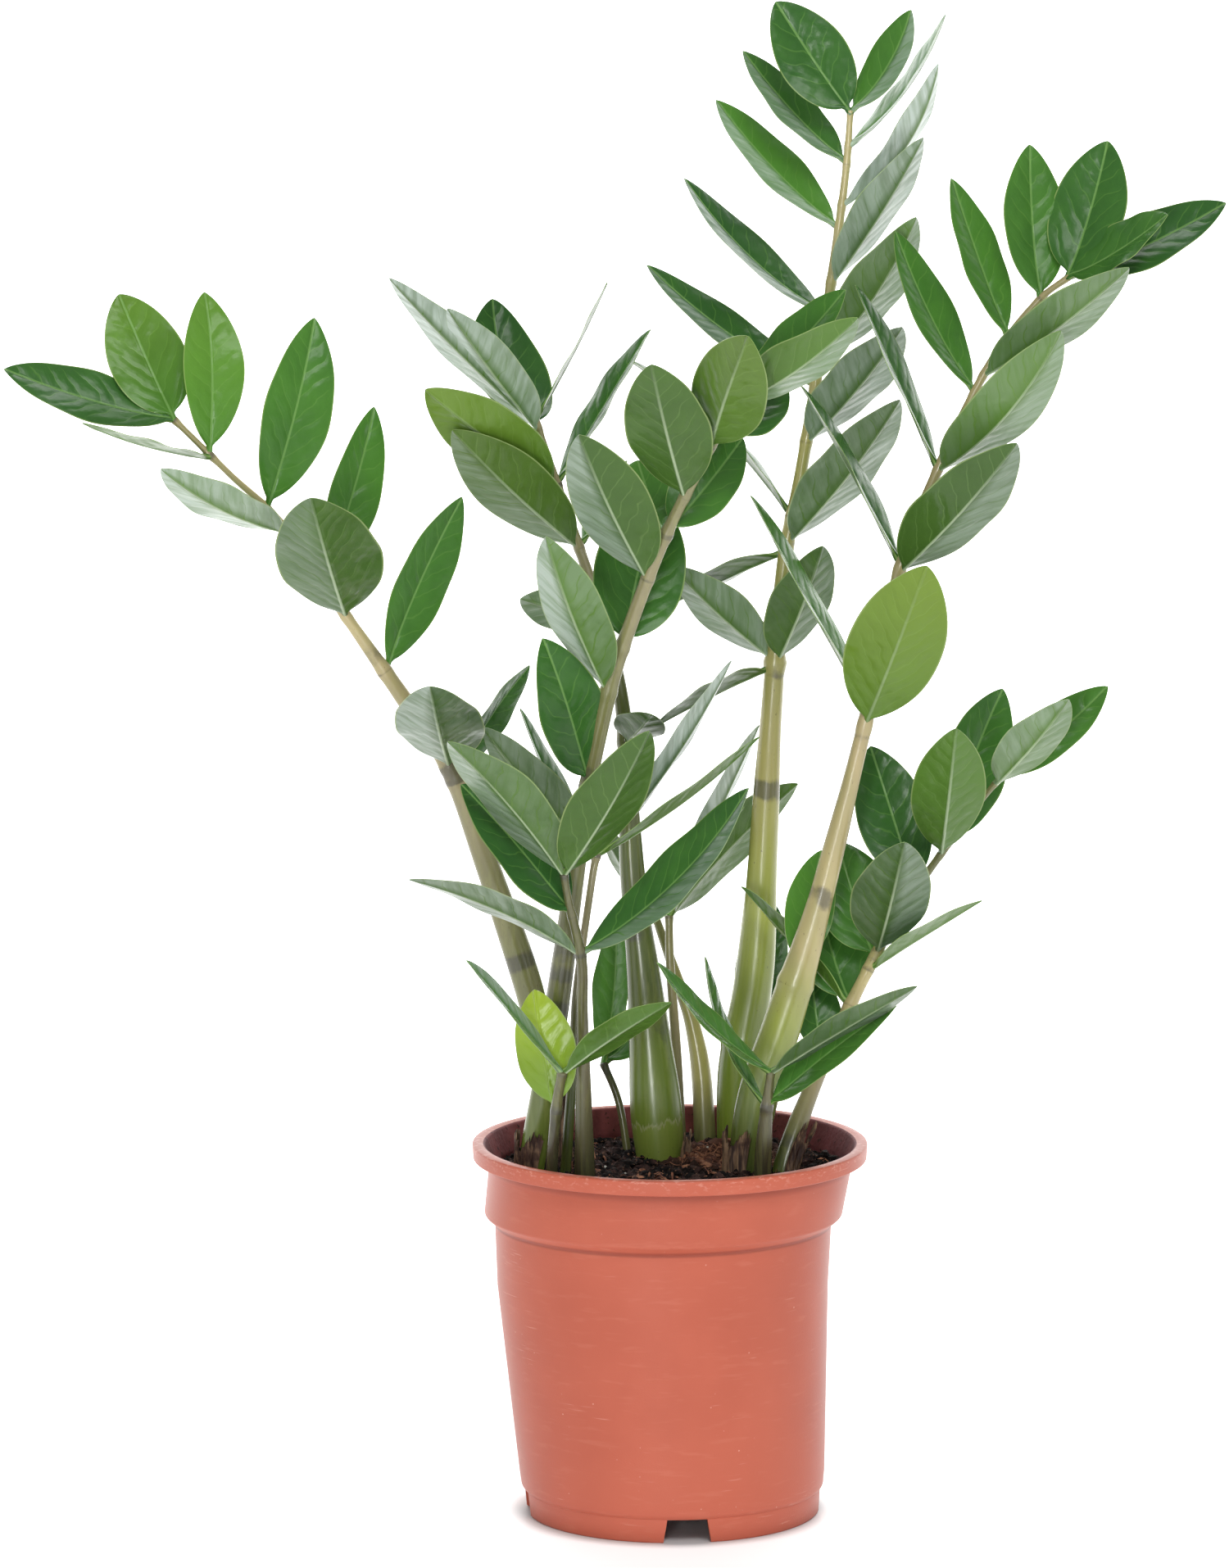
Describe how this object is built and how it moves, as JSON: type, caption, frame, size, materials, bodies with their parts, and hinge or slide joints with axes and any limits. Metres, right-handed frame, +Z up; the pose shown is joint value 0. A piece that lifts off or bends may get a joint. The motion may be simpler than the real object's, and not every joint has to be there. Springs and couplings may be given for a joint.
{
  "type": "potted zz plant",
  "caption": "Free-standing ZZ plant with glossy paired leaflets on upright stalks in a terracotta-coloured nursery pot.",
  "frame": {"origin": "middle of the whole plant's footprint, on the surface the pot stands on", "axes": "+X right as the front is seen, +Y to the back, +Z up; the pot's axis stands at X 23.5 mm, Y 19.5 mm"},
  "size_m": [0.5143, 0.2141, 0.6491],
  "materials": {
    "terracotta_plastic": "satin",
    "potting_soil": "matte",
    "green_frond": "satin",
    "dry_sheath": "matte"
  },
  "bodies": {
    "root": {"pot": "terracotta_plastic", "soil": "potting_soil", "frond_left": "green_frond", "frond_leaning": "green_frond", "frond_thick": "green_frond", "frond_tall": "green_frond", "frond_right": "green_frond", "frond_low_right": "green_frond", "sprout_right": "green_frond", "frond_low_front": "green_frond", "sprout_left": "green_frond", "sprout_back": "green_frond", "frond_thin_left": "green_frond", "frond_thin_right": "green_frond", "frond_hidden": "green_frond", "sheath_left": "dry_sheath", "sheath_front": "dry_sheath", "sheath_middle": "dry_sheath", "sheath_right": "dry_sheath", "sheath_low_right": "dry_sheath"}
  },
  "joints": []
}
